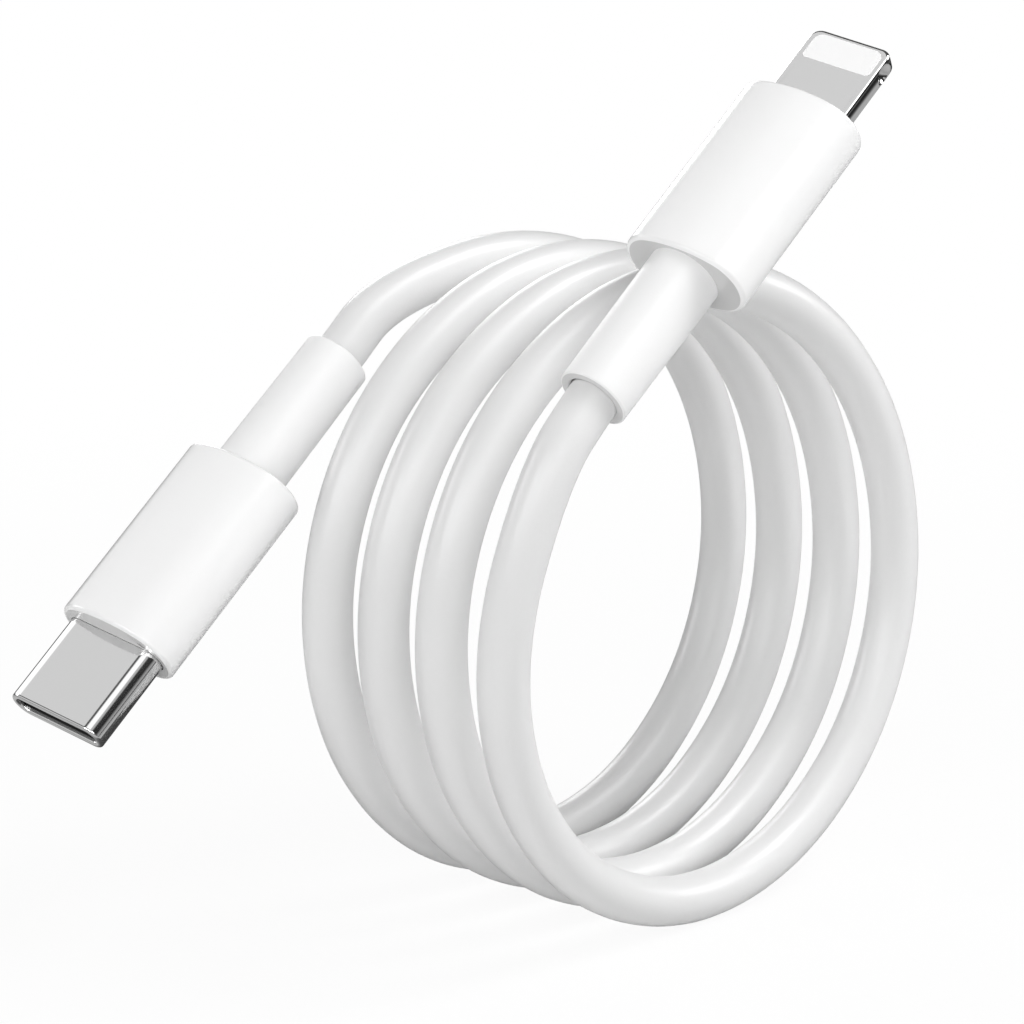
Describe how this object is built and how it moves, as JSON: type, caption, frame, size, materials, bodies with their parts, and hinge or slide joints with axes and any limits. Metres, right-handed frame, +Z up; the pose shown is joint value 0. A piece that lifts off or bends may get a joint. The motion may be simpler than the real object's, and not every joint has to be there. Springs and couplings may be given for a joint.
{
  "type": "charging cable",
  "caption": "White charging cord wound in an open coil, with a metal oval plug on one end and a flat metal plug on the other, each in an oval housing with a plain round strain relief.",
  "frame": {"origin": "middle of the cable's bounding box across and along the coil's axis, at the level on which the coil stands", "axes": "+Z up, +Y along the coil's axis away from its near turn, +X the way in which the flat plug's tip points along the ground"},
  "size_m": [0.0674, 0.0366, 0.0641],
  "materials": {
    "cord_white": "satin",
    "housing_white": "gloss",
    "relief_white": "satin",
    "mould_grey": "matt",
    "can_steel": "satin",
    "ferrule_metal": "satin",
    "wire_jacket": "satin",
    "board_green": "satin",
    "chip_black": "matt",
    "passive_tan": "matt",
    "plug_steel": "polished",
    "contact_gold": "polished",
    "spring_steel": "satin",
    "insulator_black": "satin",
    "insert_white": "gloss"
  },
  "bodies": {
    "cable": {"cord_coil": "cord_white", "oval_housing": "housing_white", "oval_relief": "relief_white", "oval_inner_mould": "mould_grey", "oval_shield_upper": "can_steel", "oval_shield_lower": "can_steel", "oval_ferrule": "ferrule_metal", "oval_wires": "wire_jacket", "oval_board": "board_green", "oval_chip": "chip_black", "oval_passives": "passive_tan", "oval_cord_end": "cord_white", "oval_shell": "plug_steel", "oval_contacts_upper": "contact_gold", "oval_contacts_lower": "contact_gold", "oval_latch": "spring_steel", "oval_ground_spring_upper": "spring_steel", "oval_ground_spring_lower": "spring_steel", "oval_insulator": "insulator_black", "flat_housing": "housing_white", "flat_relief": "relief_white", "flat_inner_mould": "mould_grey", "flat_shield_upper": "can_steel", "flat_shield_lower": "can_steel", "flat_ferrule": "ferrule_metal", "flat_wires": "wire_jacket", "flat_board": "board_green", "flat_chip": "chip_black", "flat_passives": "passive_tan", "flat_cord_end": "cord_white", "flat_frame": "plug_steel", "flat_contacts_upper": "contact_gold", "flat_contacts_lower": "contact_gold", "flat_insert": "insert_white"}
  },
  "joints": []
}
